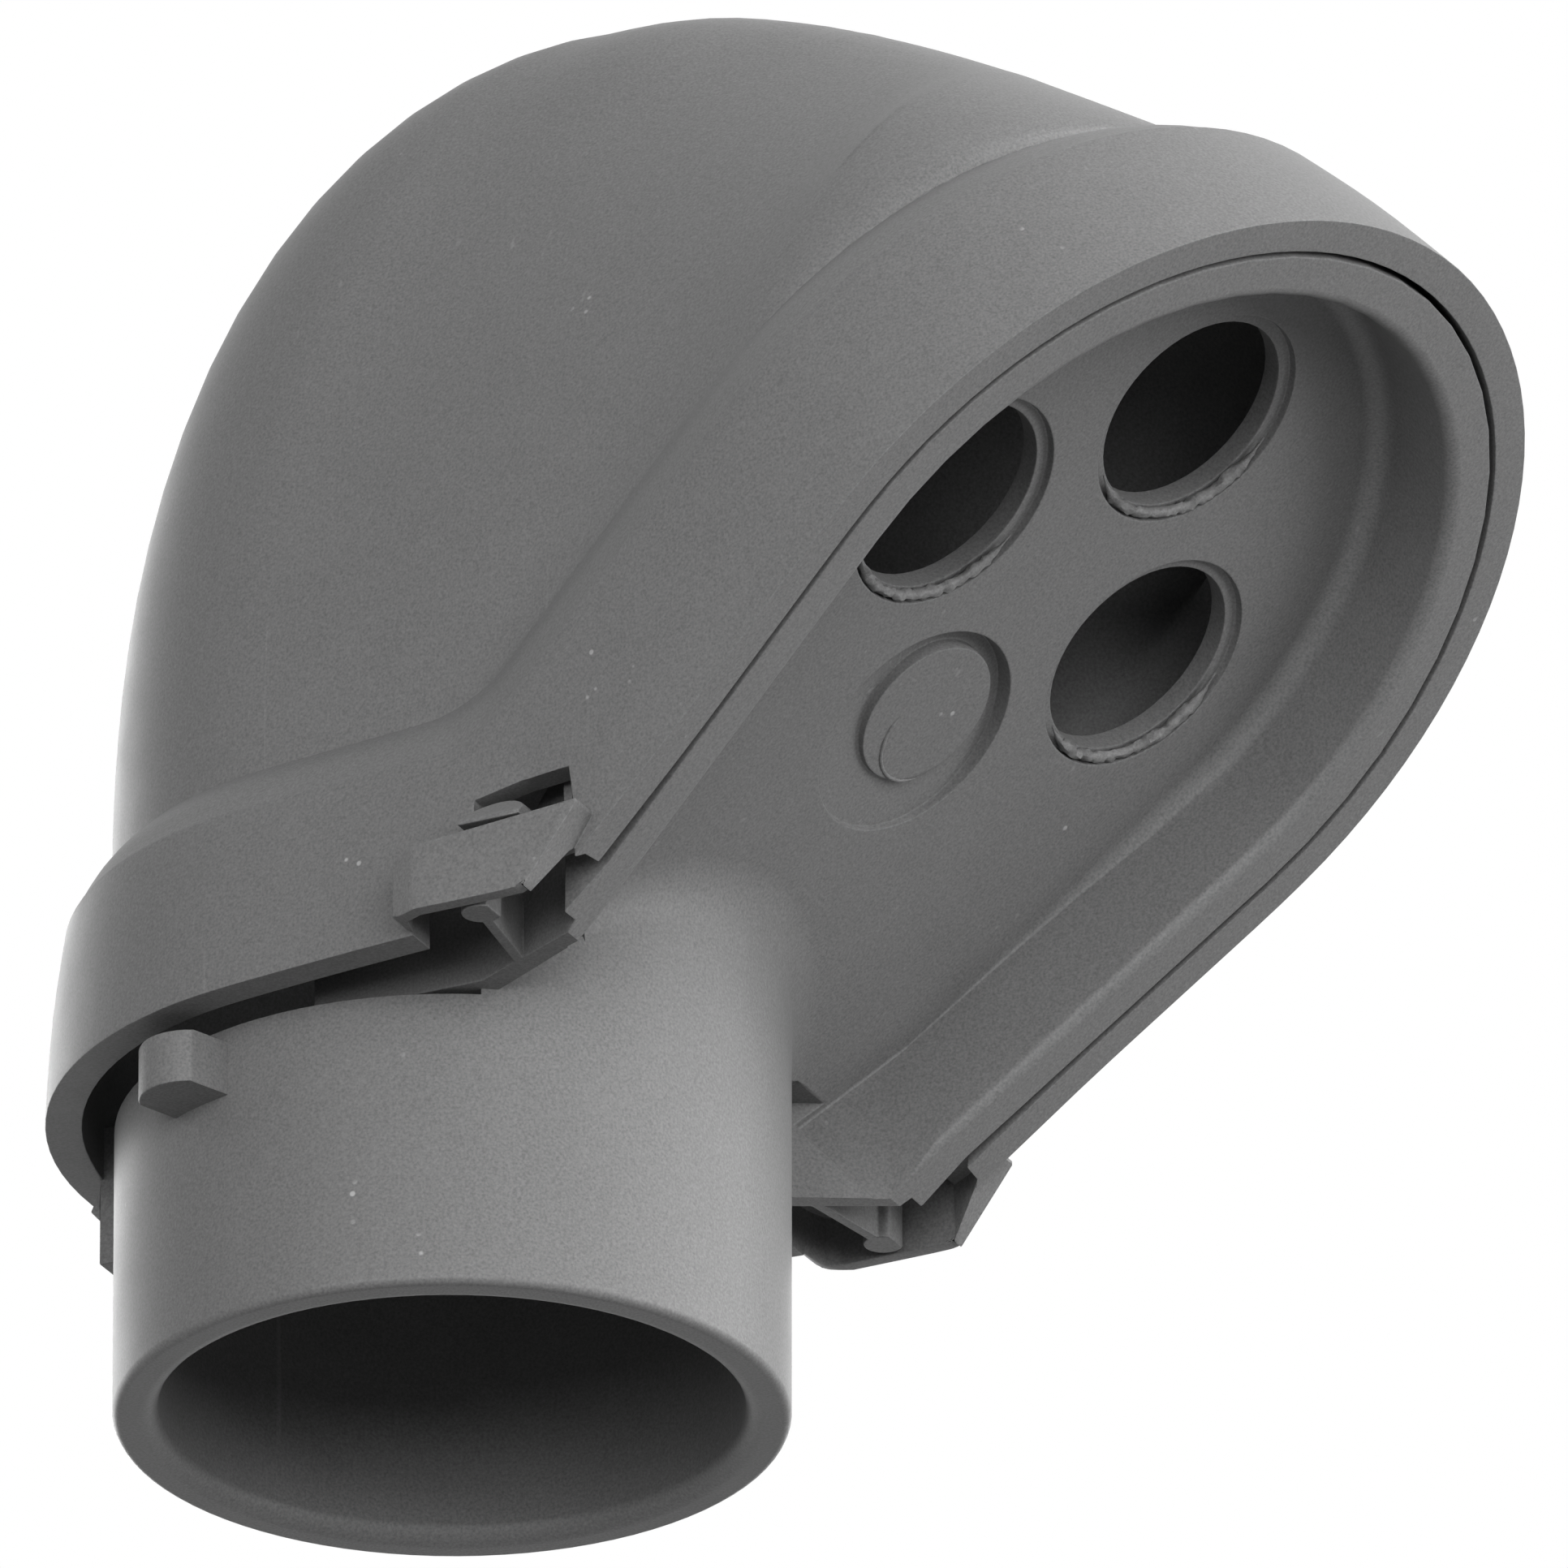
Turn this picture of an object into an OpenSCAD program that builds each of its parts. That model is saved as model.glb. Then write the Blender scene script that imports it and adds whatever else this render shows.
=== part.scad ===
// Service entrance weatherhead for PVC conduit, slip-fit.
// Origin: centre of the socket mouth. +Z up, +X towards the nose, mm.

/* [Socket] */
// Inside diameter of the conduit socket
socket_bore_d = 48.5; // [42:0.1:60]
// Wall of the socket
socket_wall = 3.8; // [2.5:0.1:6]
// Depth from the mouth to the conduit stop
socket_depth = 22.5; // [16:0.5:24]
// Step of the conduit stop, on the radius
stop_step = 2.2; // [1:0.1:4]
// Height of the open inner end of the tube, behind the cable plate
tube_top = 26; // [25:0.1:28]
// Height of the front half of the tube wall, under the cable plate
front_top = 41; // [38:0.5:42]
// Where the front half of the tube wall begins, from the axis
front_x = 14.8; // [12:0.1:18]
// Chamfer of the outer edge of the mouth
mouth_chamfer = 0.7; // [0.2:0.1:1.5]

/* [Cable plate] */
// Slope of the cable plate above the horizontal, degrees
slope = 41.4; // [35:0.1:48]
// Distance from the axis to the corner where the rim turns upwards
bend_x = 26.2; // [24:0.1:32]
// Height of the lower edge of the hood behind that corner
edge_z = 26.5; // [22:0.5:30]
// Distance from the corner to the centre of the round nose, along the slope
nose_u = 46.6; // [40:0.1:56]
// Radius of the nose, outside of the skirt
nose_r = 42.6; // [36:0.1:48]
// Half width of the skirt at the corner
bend_w = 36.5; // [34:0.1:40]
// Where the sides of the sloping part begin to spread, from the corner along the slope
spread_u = 6.3; // [0:0.1:20]
// Width of the rim face
rim_width = 4.1; // [2.5:0.1:6]
// Depth of the recess under the sloping plate
recess_depth = 9.6; // [6:0.1:12]
// Height of the level ceiling beside the tube, above the lower edge
ceiling_h = 8.6; // [6:0.1:10]
// Thickness of the plate
plate_t = 2.8; // [2:0.1:4]
// Front wall of the notch beside each latch, from the axis
notch_x = 27; // [26:0.1:29]
// How deep the notch cuts into the rim at its front wall
notch_depth = 1.9; // [1:0.1:2.4]
// Wall left between the notch and the recess
notch_wall = 1.3; // [1:0.1:2]
// Where the notched side of the plate runs into the tube, from the axis
wing_x = 15.6; // [14:0.1:18]
// Half width of the plate there
wing_y = 25.2; // [23:0.1:27]
// Least width of the rim beside the notch
wing_rim = 2.4; // [1.5:0.1:4]

/* [Cable holes] */
// Diameter of the open cable holes
hole_d = 18; // [12:0.1:20]
// Diameter of the shallow ring round each open hole
ring_d = 20.3; // [14:0.1:22]
// Depth of that ring
ring_depth = 0.8; // [0.3:0.1:1.5]
// Place of the knockout along the slope
knockout_u = 30.6; // [28:0.1:34]
// Place of the two middle holes along the slope
middle_u = 47.2; // [44:0.1:52]
// Half spacing of the two middle holes
middle_y = 17.6; // [14:0.1:20]
// Place of the upper hole along the slope
upper_u = 65.4; // [60:0.1:68]
// Diameter of the knockout recess
knockout_d = 19.6; // [14:0.1:22]
// Depth of the knockout recess at its middle
knockout_depth = 1.1; // [0.5:0.1:1.6]
// Tilt of the floor of that recess, deeper towards the nose, degrees
knockout_tilt = 3.6; // [0:0.1:5]
// Diameter of the button in the knockout
button_d = 13.2; // [6:0.1:14]
// How far the button is off the middle, towards the nose
button_off = 1.7; // [0:0.1:2]
// How far the button stays behind the plate
button_sink = 0.25; // [0.1:0.05:0.6]

/* [Stop lugs] */
// Width of each lug
lug_w = 6.4; // [4:0.1:8]
// Radius of its rounded end
lug_round = 4.2; // [4:0.1:6]
// How far each lug stands out from the tube
lug_out = 5.4; // [3:0.1:5.5]
// Angle of the lugs from the nose direction, degrees
lug_angle = 110.7; // [95:0.1:130]
// Underside of the lugs
lug_z = 20; // [14:0.1:22]
// Height of the lugs
lug_h = 4.7; // [3:0.1:6]

/* [Hood] */
// Thickness of the skirt
skirt_t = 3.1; // [2:0.1:4]
// Gap between skirt and rim
rim_gap = 0.6; // [0.3:0.05:2]
// Thickness of the dome
dome_t = 2.8; // [2:0.1:4]
// Gap between the tube and the inside of the skirt behind it
rear_gap = 2.75; // [2:0.05:5]
// Where the skirt reaches its full width, from the axis
full_x = 20; // [17:0.1:24]
// Height of the band
band_h = 16.4; // [12:0.1:18]
// Height of the rounded shoulder above the band
shoulder_h = 5.4; // [3:0.1:7]
// Inset of the dome from the outside of the skirt
dome_inset = 5.4; // [3:0.1:7]
// Draft of the band, total inset at its top
band_draft = 1.5; // [0:0.1:2]
// Top of the hood
top_z = 121.7; // [100:0.5:130]
// Place of the top from the axis
top_x = 22.6; // [14:0.1:28]
// Place of the front end of the crest
crest_x = 58.1; // [48:0.1:62]
// Height of the front end of the crest
crest_z = 107.6; // [104:0.1:112]
// Fall of the crest at its front end, degrees
crest_fall = 31.4; // [24:0.1:38]
// Length of the crest's curve arm at its top
crest_arm_top = 10; // [6:0.1:16]
// Length of the crest's curve arm at its front end
crest_arm_nose = 13.4; // [8:0.1:18]
// Fullness of the dome behind the tube and at the sides, 2 is an ellipse
fullness = 2.35; // [2:0.01:3]
// Fullness of the dome at the nose
nose_fullness = 2.12; // [2:0.01:2.5]

/* [Side latches] */
// How far the strap stands out from the skirt
strap_out = 3.7; // [2.5:0.1:4.5]
// Wall of the strap
strap_wall = 1.4; // [1:0.1:2]
// Rear end of the strap
strap_x0 = 13.2; // [12:0.1:15]
// Front end of the strap
strap_x1 = 31.8; // [30:0.1:34]
// Height of the strap at its rear end
strap_h = 5.5; // [4:0.1:7]
// Rise of the strap's upper edge towards the nose, degrees
strap_rise = 4.6; // [0:0.1:8]
// Slope of the lower face of the strap at its front end, degrees
strap_slope = 54; // [42:1:60]
// Round of the rear end of the strap
strap_round = 2.4; // [1:0.1:2.6]
// Rear end of the window
window_x0 = 20.2; // [19:0.1:21]
// Front end of the window
window_x1 = 29.8; // [28:0.1:31]
// Upper edge of the window above the skirt edge
window_h = 11.7; // [9:0.1:13]
// Rear end of the latch head
head_x0 = 20.9; // [20:0.1:22]
// Length of the latch head
head_len = 5.7; // [4:0.1:7]
// Height of the latch head
head_h = 2.6; // [1:0.1:3]
// Radius of the rounded top of the latch head
head_round = 3.4; // [3.2:0.1:6]
// Gap between latch and hood
latch_gap = 0.35; // [0.2:0.05:0.6]
// Thickness of the latch stem
stem_t = 3.4; // [2.4:0.1:4]
// Thickness of the web that carries the latch
web_t = 1; // [0.8:0.1:2]

/* [Rear tongue] */
// Width of the tongue
tongue_w = 8; // [4:0.5:12]
// Thickness of the tongue
tongue_t = 1.5; // [1:0.1:1.8]
// How far the tongue hangs below the skirt
tongue_drop = 7.6; // [3:0.1:10]
// Height of the nub on the tongue
nub_h = 2.6; // [1:0.1:4]
// How far the nub stands out
nub_out = 0.9; // [0.5:0.1:2]

/* [Smoothness] */
// Steps of the round nose of the hood, half of it
nose_steps = 14; // [6:1:20]
// Steps of the arc behind the tube, half of it
rear_steps = 11; // [6:1:16]

/* [Hidden] */
$fn = 96;
big = 200;
bore_r = socket_bore_d / 2;
tube_r = bore_r + socket_wall;
passage_r = bore_r - stop_step;
rear_r = tube_r + rear_gap + skirt_t;
// angle of the skirt between the arc behind the tube and its full width
flare = acos(rear_r / norm([full_x, bend_w])) - atan2(full_x, bend_w);
// angle at which the sides of the sloping part spread to meet the nose
side_taper = atan2(nose_u - spread_u, bend_w) - acos(nose_r / norm([nose_u - spread_u, bend_w]));
half_turn = tan(slope / 2);
body_inset = skirt_t + rim_gap;
recess_inset = body_inset + rim_width;
stop_cone = 1.5; // height of the cone of the conduit stop
wall_step = 0.1; // keeps the walls of the level and sloping parts out of one plane
cut = 1; // how far a cut runs past a face
inner_straight = band_h - 2.9; // upright part of the inside of the band
inner_turn = 2.2; // from there the inside turns to the dome, this far under the shoulder
// latch, mirrored for the other side
strap_y = bend_w + strap_out;
stem_y = strap_y - strap_wall - latch_gap - stem_t / 2;
stem_x = head_x0 + 0.1 * head_len;
head_edge = 0.15 * head_h; // thickness of the outer edge of the head

// Which node to draw

// ---- outline of the part, shared by both pieces ----
// e is the inset from the outside of the skirt
function side_w(u, e) =
    max(bend_w - e, (nose_r - e + (u - nose_u) * sin(side_taper)) / cos(side_taper));
function rear_w(x) = min(bend_w, (rear_r + x * sin(flare)) / cos(flare));
nose_turn = 90 + side_taper;
function slope_pt(p) = [
    bend_x + p[0] * cos(slope) - p[2] * sin(slope),
    p[1],
    edge_z + p[0] * sin(slope) + p[2] * cos(slope)];
function tangent_u(r) = nose_u - r * sin(side_taper);
function straight_u(e) = let (r = nose_r - e)
    tangent_u(r) - (r * cos(side_taper) - bend_w + e) / tan(side_taper);

module on_slope() translate([bend_x, 0, edge_z]) rotate([0, -slope, 0]) children();
// side view drawn in X,Z and pushed through in Y
module side_view(w) rotate([90, 0, 0]) linear_extrude(height = w, center = true) children();

// outline at inset e in the sloping plane, from u0 to the nose
module outline(e, u0) {
    r = nose_r - e;
    w = bend_w - e;
    us = straight_u(e);
    turn = nose_turn / nose_steps;
    polygon(concat([[u0, -w], [us, -w]],
        [for (i = [-nose_steps : nose_steps]) [nose_u + r * cos(i * turn), r * sin(i * turn)]],
        [[us, w], [u0, w]]));
}

// ---- body ----
// plan of the level part behind the corner: half widths at the tube and at the corner
module wing_outline(x0, y0, w) polygon([
    [0, -y0], [x0, -y0], [bend_x, -w], [bend_x, w], [x0, y0], [0, y0]]);
// the notch that takes the latch, on the +Y side, grown by e
notch_y = bend_w - body_inset - notch_depth;
function notch_edge(x) = wing_y + (x - wing_x) * (notch_y - wing_y) / (notch_x - wing_x);
module latch_notch(e) translate([0, 0, edge_z - cut]) linear_extrude(height = big / 2) polygon([
    [notch_x + e, big], [notch_x + e, notch_y - e], [wing_x, wing_y - e],
    [0, wing_y - e], [0, big]]);
module tray() {
    w_in = bend_w - recess_inset - wall_step;
    difference() {
        union() {
            on_slope() linear_extrude(height = recess_depth + plate_t) outline(body_inset, 0);
            translate([0, 0, edge_z]) linear_extrude(height = ceiling_h + plate_t)
                wing_outline(front_x, wing_y, bend_w - body_inset - wall_step);
        }
        difference() {
            on_slope() translate([0, 0, -cut]) linear_extrude(height = recess_depth + cut)
                outline(recess_inset, -cut);
            latch_notch(notch_wall);
            mirror([0, 1, 0]) latch_notch(notch_wall);
        }
        translate([0, 0, edge_z - cut]) linear_extrude(height = ceiling_h + cut)
            wing_outline(wing_x, wing_y - wing_rim, w_in);
        latch_notch(0);
        mirror([0, 1, 0]) latch_notch(0);
    }
}

module plate_cut(u, y, d, z0, z1)
    on_slope() translate([u, y, z0]) cylinder(d = d, h = z1 - z0);

module cable_holes() {
    for (p = [[middle_u, -middle_y], [middle_u, middle_y], [upper_u, 0]]) {
        plate_cut(p[0], p[1], hole_d, recess_depth - 1, recess_depth + plate_t + 1);
        plate_cut(p[0], p[1], ring_d, recess_depth - 1, recess_depth + ring_depth);
    }
    difference() {
        on_slope() translate([knockout_u, 0, recess_depth]) rotate([0, -knockout_tilt, 0])
            translate([0, 0, -cut]) cylinder(d = knockout_d, h = knockout_depth + cut);
        plate_cut(knockout_u + button_off, 0, button_d,
            recess_depth + button_sink, recess_depth + plate_t);
    }
}

module tube_bore() rotate_extrude() polygon([
    [0, -cut], [bore_r, -cut], [bore_r, socket_depth],
    [passage_r, socket_depth + stop_cone], [passage_r, big / 2], [0, big / 2]]);

// the wall is cut down behind the cable plate, where the hood covers it
module tube_wall() {
    rotate_extrude() polygon([
        [passage_r - cut, 0], [tube_r - mouth_chamfer, 0],
        [tube_r - mouth_chamfer * 0.3, mouth_chamfer * 0.3], [tube_r, mouth_chamfer],
        [tube_r, tube_top], [passage_r - cut, tube_top]]);
    intersection() {
        cylinder(r = tube_r, h = front_top);
        translate([front_x, -tube_r, tube_top - cut]) cube([tube_r, 2 * tube_r, front_top]);
    }
}

module stop_lug(a) rotate([0, 0, a]) translate([0, 0, lug_z]) intersection() {
    translate([tube_r + lug_out - lug_round, 0, 0]) union() {
        cylinder(r = lug_round, h = lug_h);
        translate([-lug_round - lug_out, -lug_round, 0])
            cube([lug_round + lug_out, 2 * lug_round, lug_h]);
    }
    translate([passage_r + cut, -lug_w / 2, 0])
        cube([tube_r + lug_out - passage_r, lug_w, lug_h]);
}

// latch on the +Y side: D-shaped stem, web from the plate, and the head over the strap
module latch() {
    z_top = strap_top(head_x0 + head_len / 2) + latch_gap;
    mid = head_x0 + head_len / 2;
    difference() {
        translate([stem_x, stem_y, edge_z]) cylinder(d = stem_t, h = z_top - edge_z + head_edge);
        translate([stem_x + stem_t * 0.35, stem_y - stem_t, edge_z - cut])
            cube([stem_t, 2 * stem_t, z_top]);
    }
    // web, from inside the stem to inside the rim
    root_y = notch_edge(stem_x - web_t) - web_t;
    translate([0, 0, edge_z]) linear_extrude(height = strap_h) polygon([
        [stem_x - web_t / 2, stem_y], [stem_x + web_t / 2, stem_y],
        [stem_x - web_t, root_y], [stem_x - 2 * web_t, root_y]]);
    // head, a ramp with a rounded top
    intersection() {
        translate([head_x0, 0, 0]) rotate([90, 0, 90]) linear_extrude(height = head_len) polygon([
            [stem_y - stem_t / 2, z_top], [strap_y, z_top], [strap_y, z_top + head_edge],
            [stem_y + stem_t * 0.3, z_top + head_h], [stem_y - stem_t / 2, z_top + head_h]]);
        translate([mid, big, z_top + head_h - head_round]) rotate([90, 0, 0])
            cylinder(r = head_round, h = 2 * big);
    }
}

module body() color([0.42, 0.42, 0.42]) {
    difference() {
        union() {
            tray();
            tube_wall();
            for (s = [-1, 1]) stop_lug(s * lug_angle);
        }
        tube_bore();
        cable_holes();
    }
    latch();
    mirror([0, 1, 0]) latch();
}

// ---- hood ----
// stations run along half the lower edge, from behind the tube to the nose
arc_end = 90 + flare;
REAR = 0; FLARE = 1; BEND = 2; SIDE = 3; NOSE = 4;
bend_steps = 6;
side_steps = 4;
flare_x0 = 0.1 * full_x; // stations between the arc and the corner
flare_x1 = 0.4 * full_x;
side_u0 = 0.39 * nose_u; // first station past the corner
stations = concat(
    [for (i = [0 : rear_steps]) [REAR, 180 - (180 - arc_end) * i / rear_steps]],
    [[FLARE, flare_x0], [FLARE, flare_x1]],
    [for (i = [0 : bend_steps]) [BEND, i / bend_steps]],
    [for (i = [0 : side_steps - 1]) [SIDE, side_u0 + i * (tangent_u(nose_r) - side_u0) / side_steps]],
    [for (i = [0 : nose_steps]) [NOSE, nose_turn * (1 - i / nose_steps)]]);
half = len(stations) - 1;
turn_low = 2.5;
turn_high = 5;
shoulder_top = band_h + shoulder_h;

function bend_pt(t, h, e) = let (
    len_t = turn_low + (turn_high - turn_low) * h / shoulder_top,
    c = [bend_x - h * half_turn, edge_z + h],
    a = c - [len_t, 0], b = c + len_t * [cos(slope), sin(slope)],
    p = (1 - t) * (1 - t) * a + 2 * t * (1 - t) * c + t * t * b,
    w = (1 - t) * (rear_w(a[0]) - e) + t * side_w(h * half_turn + len_t, e))
    [p[0], -w, p[1]];
function station_pt(s, h, e) =
    s[0] == REAR ? [(rear_r - e) * cos(s[1]), -(rear_r - e) * sin(s[1]), edge_z + h] :
    s[0] == FLARE ? [s[1], -(rear_w(s[1]) - e), edge_z + h] :
    s[0] == BEND ? bend_pt(s[1], h, e) :
    s[0] == SIDE ? slope_pt([s[1], -side_w(s[1], e), h]) :
    slope_pt([nose_u + (nose_r - e) * cos(s[1]), -(nose_r - e) * sin(s[1]), h]);
// direction in which the foot of the dome faces at each station
function station_out(s) =
    s[0] == REAR ? [cos(s[1]), -sin(s[1]), 0] :
    s[0] == FLARE ? [-sin(flare / 2), -cos(flare / 2), 0] :
    s[0] == NOSE ? let (a = s[1] * 90 / nose_turn) [cos(a), -sin(a), 0] :
    [0, -1, 0];

// crest of the dome, a curve in the plane of symmetry
crest_a = [top_x, top_z];
crest_b = [top_x + crest_arm_top, top_z];
crest_c = [crest_x - crest_arm_nose * cos(crest_fall), crest_z + crest_arm_nose * sin(crest_fall)];
crest_d = [crest_x, crest_z];
function crest(t) = pow(1 - t, 3) * crest_a + 3 * t * pow(1 - t, 2) * crest_b
    + 3 * t * t * (1 - t) * crest_c + pow(t, 3) * crest_d;
function crest_run(t) = pow(1 - t, 2) * (crest_b - crest_a)
    + 2 * t * (1 - t) * (crest_c - crest_b) + t * t * (crest_d - crest_c);
function unit(v) = v / norm(v);
// share of the crest that goes with each station, by its place along X
base_x0 = station_pt(stations[rear_steps], shoulder_top, 0)[0];
base_x1 = station_pt(stations[half - nose_steps], shoulder_top, 0)[0];
function crest_t(i) = let (x = station_pt(stations[i], shoulder_top, 0)[0])
    i >= half - nose_steps ? 1 : max(0, min(1, (x - base_x0) / (base_x1 - base_x0)));

function rib_fullness(i) = let (s = stations[i])
    s[0] != NOSE ? fullness : nose_fullness + (fullness - nose_fullness) * s[1] / nose_turn;
rib_angles = [0, 1.5, 4, 8, 13, 20, 29, 39, 50, 61, 71, 79.5, 85, 88];
rib_angles_in = [0, 4, 12, 25, 42, 60, 75, 85];
function rib(i, s, h, e, drop, angles) = let (
    t = crest_t(i), c = crest(t), r = unit(crest_run(t)), m = [-r[1], 0, r[0]],
    top = [c[0], 0, c[1]] - drop * m, base = station_pt(s, h, e), n = station_out(s),
    l = unit(cross(n, m)), w = top - base, g = w * l, v = w - g * l,
    up = cross(l, n), over = cross(l, m),
    a = (v * m) / (up * m), b = (v * n) / (over * n))
    [for (f = angles) let (q = 2 / rib_fullness(i), sn = pow(sin(f), q), cs = 1 - pow(cos(f), q))
        base + a * sn * up + b * cs * over + g * (sn + cs) / 2 * l];

// profile of the band as [height, inset], outside and inside
band_out = [[0, 0], [band_h * 0.4, band_draft * 0.2], [band_h * 0.72, band_draft * 0.55],
    [band_h, band_draft], [band_h + 0.9, band_draft + 0.6],
    [band_h + shoulder_h * 0.42, band_draft + 1.25], [band_h + shoulder_h * 0.72, band_draft + 2.3]];
band_in = [[0, skirt_t], [inner_straight, skirt_t], [shoulder_top - inner_turn, dome_inset + dome_t - 1.5]];
function skin_row(i, s, band, inset, drop, angles) = concat(
    [for (p = band) station_pt(s, p[0], p[1])],
    rib(i, s, shoulder_top, inset, drop, angles));
function mirror_y(p) = [p[0], -p[1], p[2]];
// rows for the whole turn: near half, then the far half on the way back
function skin(band, inset, drop, angles) = let (
    near = [for (i = [0 : half]) skin_row(i, stations[i], band, inset, drop, angles)])
    concat(near, [for (i = [half - 1 : -1 : 1]) [for (p = near[i]) mirror_y(p)]]);

module hood_shell() {
    a = skin(band_out, dome_inset, 0, rib_angles);
    b = skin(band_in, dome_inset + dome_t, dome_t, rib_angles_in);
    n = len(a);
    ka = len(a[0]);
    kb = len(b[0]);
    pts = concat([for (r = a) each r], [for (r = b) each r]);
    o = n * ka;
    faces = concat(
        [for (i = [0 : n - 1]) for (j = [0 : ka - 2]) let (i2 = (i + 1) % n)
            each [[i * ka + j, i * ka + j + 1, i2 * ka + j + 1], [i * ka + j, i2 * ka + j + 1, i2 * ka + j]]],
        [for (i = [0 : n - 1]) for (j = [0 : kb - 2]) let (i2 = (i + 1) % n)
            each [[o + i * kb + j, o + i2 * kb + j + 1, o + i * kb + j + 1],
                  [o + i * kb + j, o + i2 * kb + j, o + i2 * kb + j + 1]]],
        [for (i = [0 : n - 1]) let (i2 = (i + 1) % n)
            each [[i * ka, i2 * ka, o + i2 * kb], [i * ka, o + i2 * kb, o + i * kb]]],
        cap(n, ka, 0, false), cap(n, kb, o, true));
    polyhedron(points = pts, faces = faces, convexity = 6);
}
function flip(f, yes) = yes ? [f[0], f[2], f[1]] : f;
// closes the crest between each row and its mirror image
function cap(n, k, o, turned) = let (t = k - 1, at = [for (i = [0 : n]) o + (i % n) * k + t])
    concat([flip([at[0], at[n - 1], at[1]], turned)],
        [for (i = [1 : half - 2]) each [
            flip([at[i], at[n - i], at[i + 1]], turned),
            flip([at[n - i], at[n - i - 1], at[i + 1]], turned)]],
        [flip([at[half - 1], at[half + 1], at[half]], turned)]);

// latch strap of the +Y side: outer block less its pocket and the window
function strap_top(x) = edge_z + strap_h + (x - strap_x0) * tan(strap_rise);
strap_foot = bend_x + 0.8; // where the lower face of the strap turns up
module strap_side() {
    x1 = min(strap_x1, strap_foot + (strap_top(strap_x1) - edge_z) / tan(strap_slope));
    polygon([
        [strap_x0, edge_z], [strap_foot, edge_z],
        [x1, edge_z + (x1 - strap_foot) * tan(strap_slope)],
        [x1, strap_top(x1)], [strap_x0, strap_top(strap_x0)]]);
}
// plan of the strap, less e all round, from y0 outwards
module strap_plan(e, y0) {
    lead = strap_out - e; // the rear end leaves the skirt at 45 degrees
    polygon([[strap_x0 + e, y0], [strap_x0 + e, bend_w - e / 2], [strap_x0 + e + lead * 0.35,
        bend_w + lead * 0.7], [strap_x0 + e + lead, strap_y - e], [strap_foot, strap_y - e],
        [strap_x1 - 1.5 * e, strap_y - 2.1 * e], [strap_x1 - 0.9 * e, strap_y - 3 * e],
        [strap_x1 - 0.7 * e, y0]]);
}
module strap_block() intersection() {
    rotate([90, 0, 0]) translate([0, 0, -big / 2]) linear_extrude(height = big / 2) {
        offset(r = strap_round, $fn = 24) offset(delta = -strap_round) strap_side();
        intersection() {
            strap_side();
            translate([strap_foot, 0]) square(big);
        }
    }
    translate([0, 0, edge_z]) linear_extrude(height = big / 2) strap_plan(0, bend_w - skirt_t / 2);
}
module strap_pocket() {
    y0 = bend_w - skirt_t - cut;
    y1 = strap_y - strap_wall;
    intersection() {
        rotate([90, 0, 0]) translate([0, 0, -big / 2]) linear_extrude(height = big / 2) polygon([
            [strap_x0, edge_z - cut], [strap_x1, edge_z - cut],
            [strap_x1, strap_top(strap_x1) - strap_wall], [strap_x0, strap_top(strap_x0) - strap_wall]]);
        translate([0, 0, edge_z - cut]) linear_extrude(height = big / 2) strap_plan(strap_wall, y0);
    }
    // slot that takes the stem through to the window
    slot_x0 = stem_x - stem_t / 2 - latch_gap;
    slot_top = strap_top(head_x0 + head_len / 2) + head_edge + 2 * latch_gap;
    translate([slot_x0, y0, edge_z])
        cube([head_x0 + head_len + latch_gap - slot_x0, y1 - y0, slot_top - edge_z]);
    translate([0, bend_w, 0]) side_view(2 * strap_out + skirt_t) polygon([
        [window_x0, strap_top(window_x0)], [window_x1 + latch_gap, strap_top(window_x1)],
        [window_x1 - latch_gap, edge_z + window_h], [window_x0 + head_len * 0.8, edge_z + window_h],
        [window_x0, edge_z + window_h - latch_gap * 2]]);
}
module rear_tongue() {
    x = rear_r - skirt_t + wall_step;
    root = 0.6 * tongue_w; // height of the tongue inside the skirt
    translate([-x, -tongue_w / 2, edge_z - tongue_drop])
        cube([tongue_t, tongue_w, tongue_drop + root]);
    translate([-x, 0, edge_z]) side_view(tongue_w - wall_step) polygon([
        [wall_step, 0], [wall_step, -1.6 * nub_h], [0, -1.4 * nub_h], [-nub_out, -nub_h],
        [0, -0.3 * nub_h]]);
    translate([-x - skirt_t / 4, -tongue_w / 2, edge_z + wall_step])
        cube([skirt_t / 3, tongue_w, root - wall_step]);
}

module hood() color([0.42, 0.42, 0.42]) {
    difference() {
        union() {
            hood_shell();
            strap_block();
            mirror([0, 1, 0]) strap_block();
        }
        strap_pocket();
        mirror([0, 1, 0]) strap_pocket();
    }
    rear_tongue();
}

body();
hood();
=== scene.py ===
"""Service entrance weatherhead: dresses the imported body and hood, and sets the stage."""
import math

import bmesh
import bpy
from bpy.props import FloatProperty, FloatVectorProperty, PointerProperty
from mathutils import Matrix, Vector, noise


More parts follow.
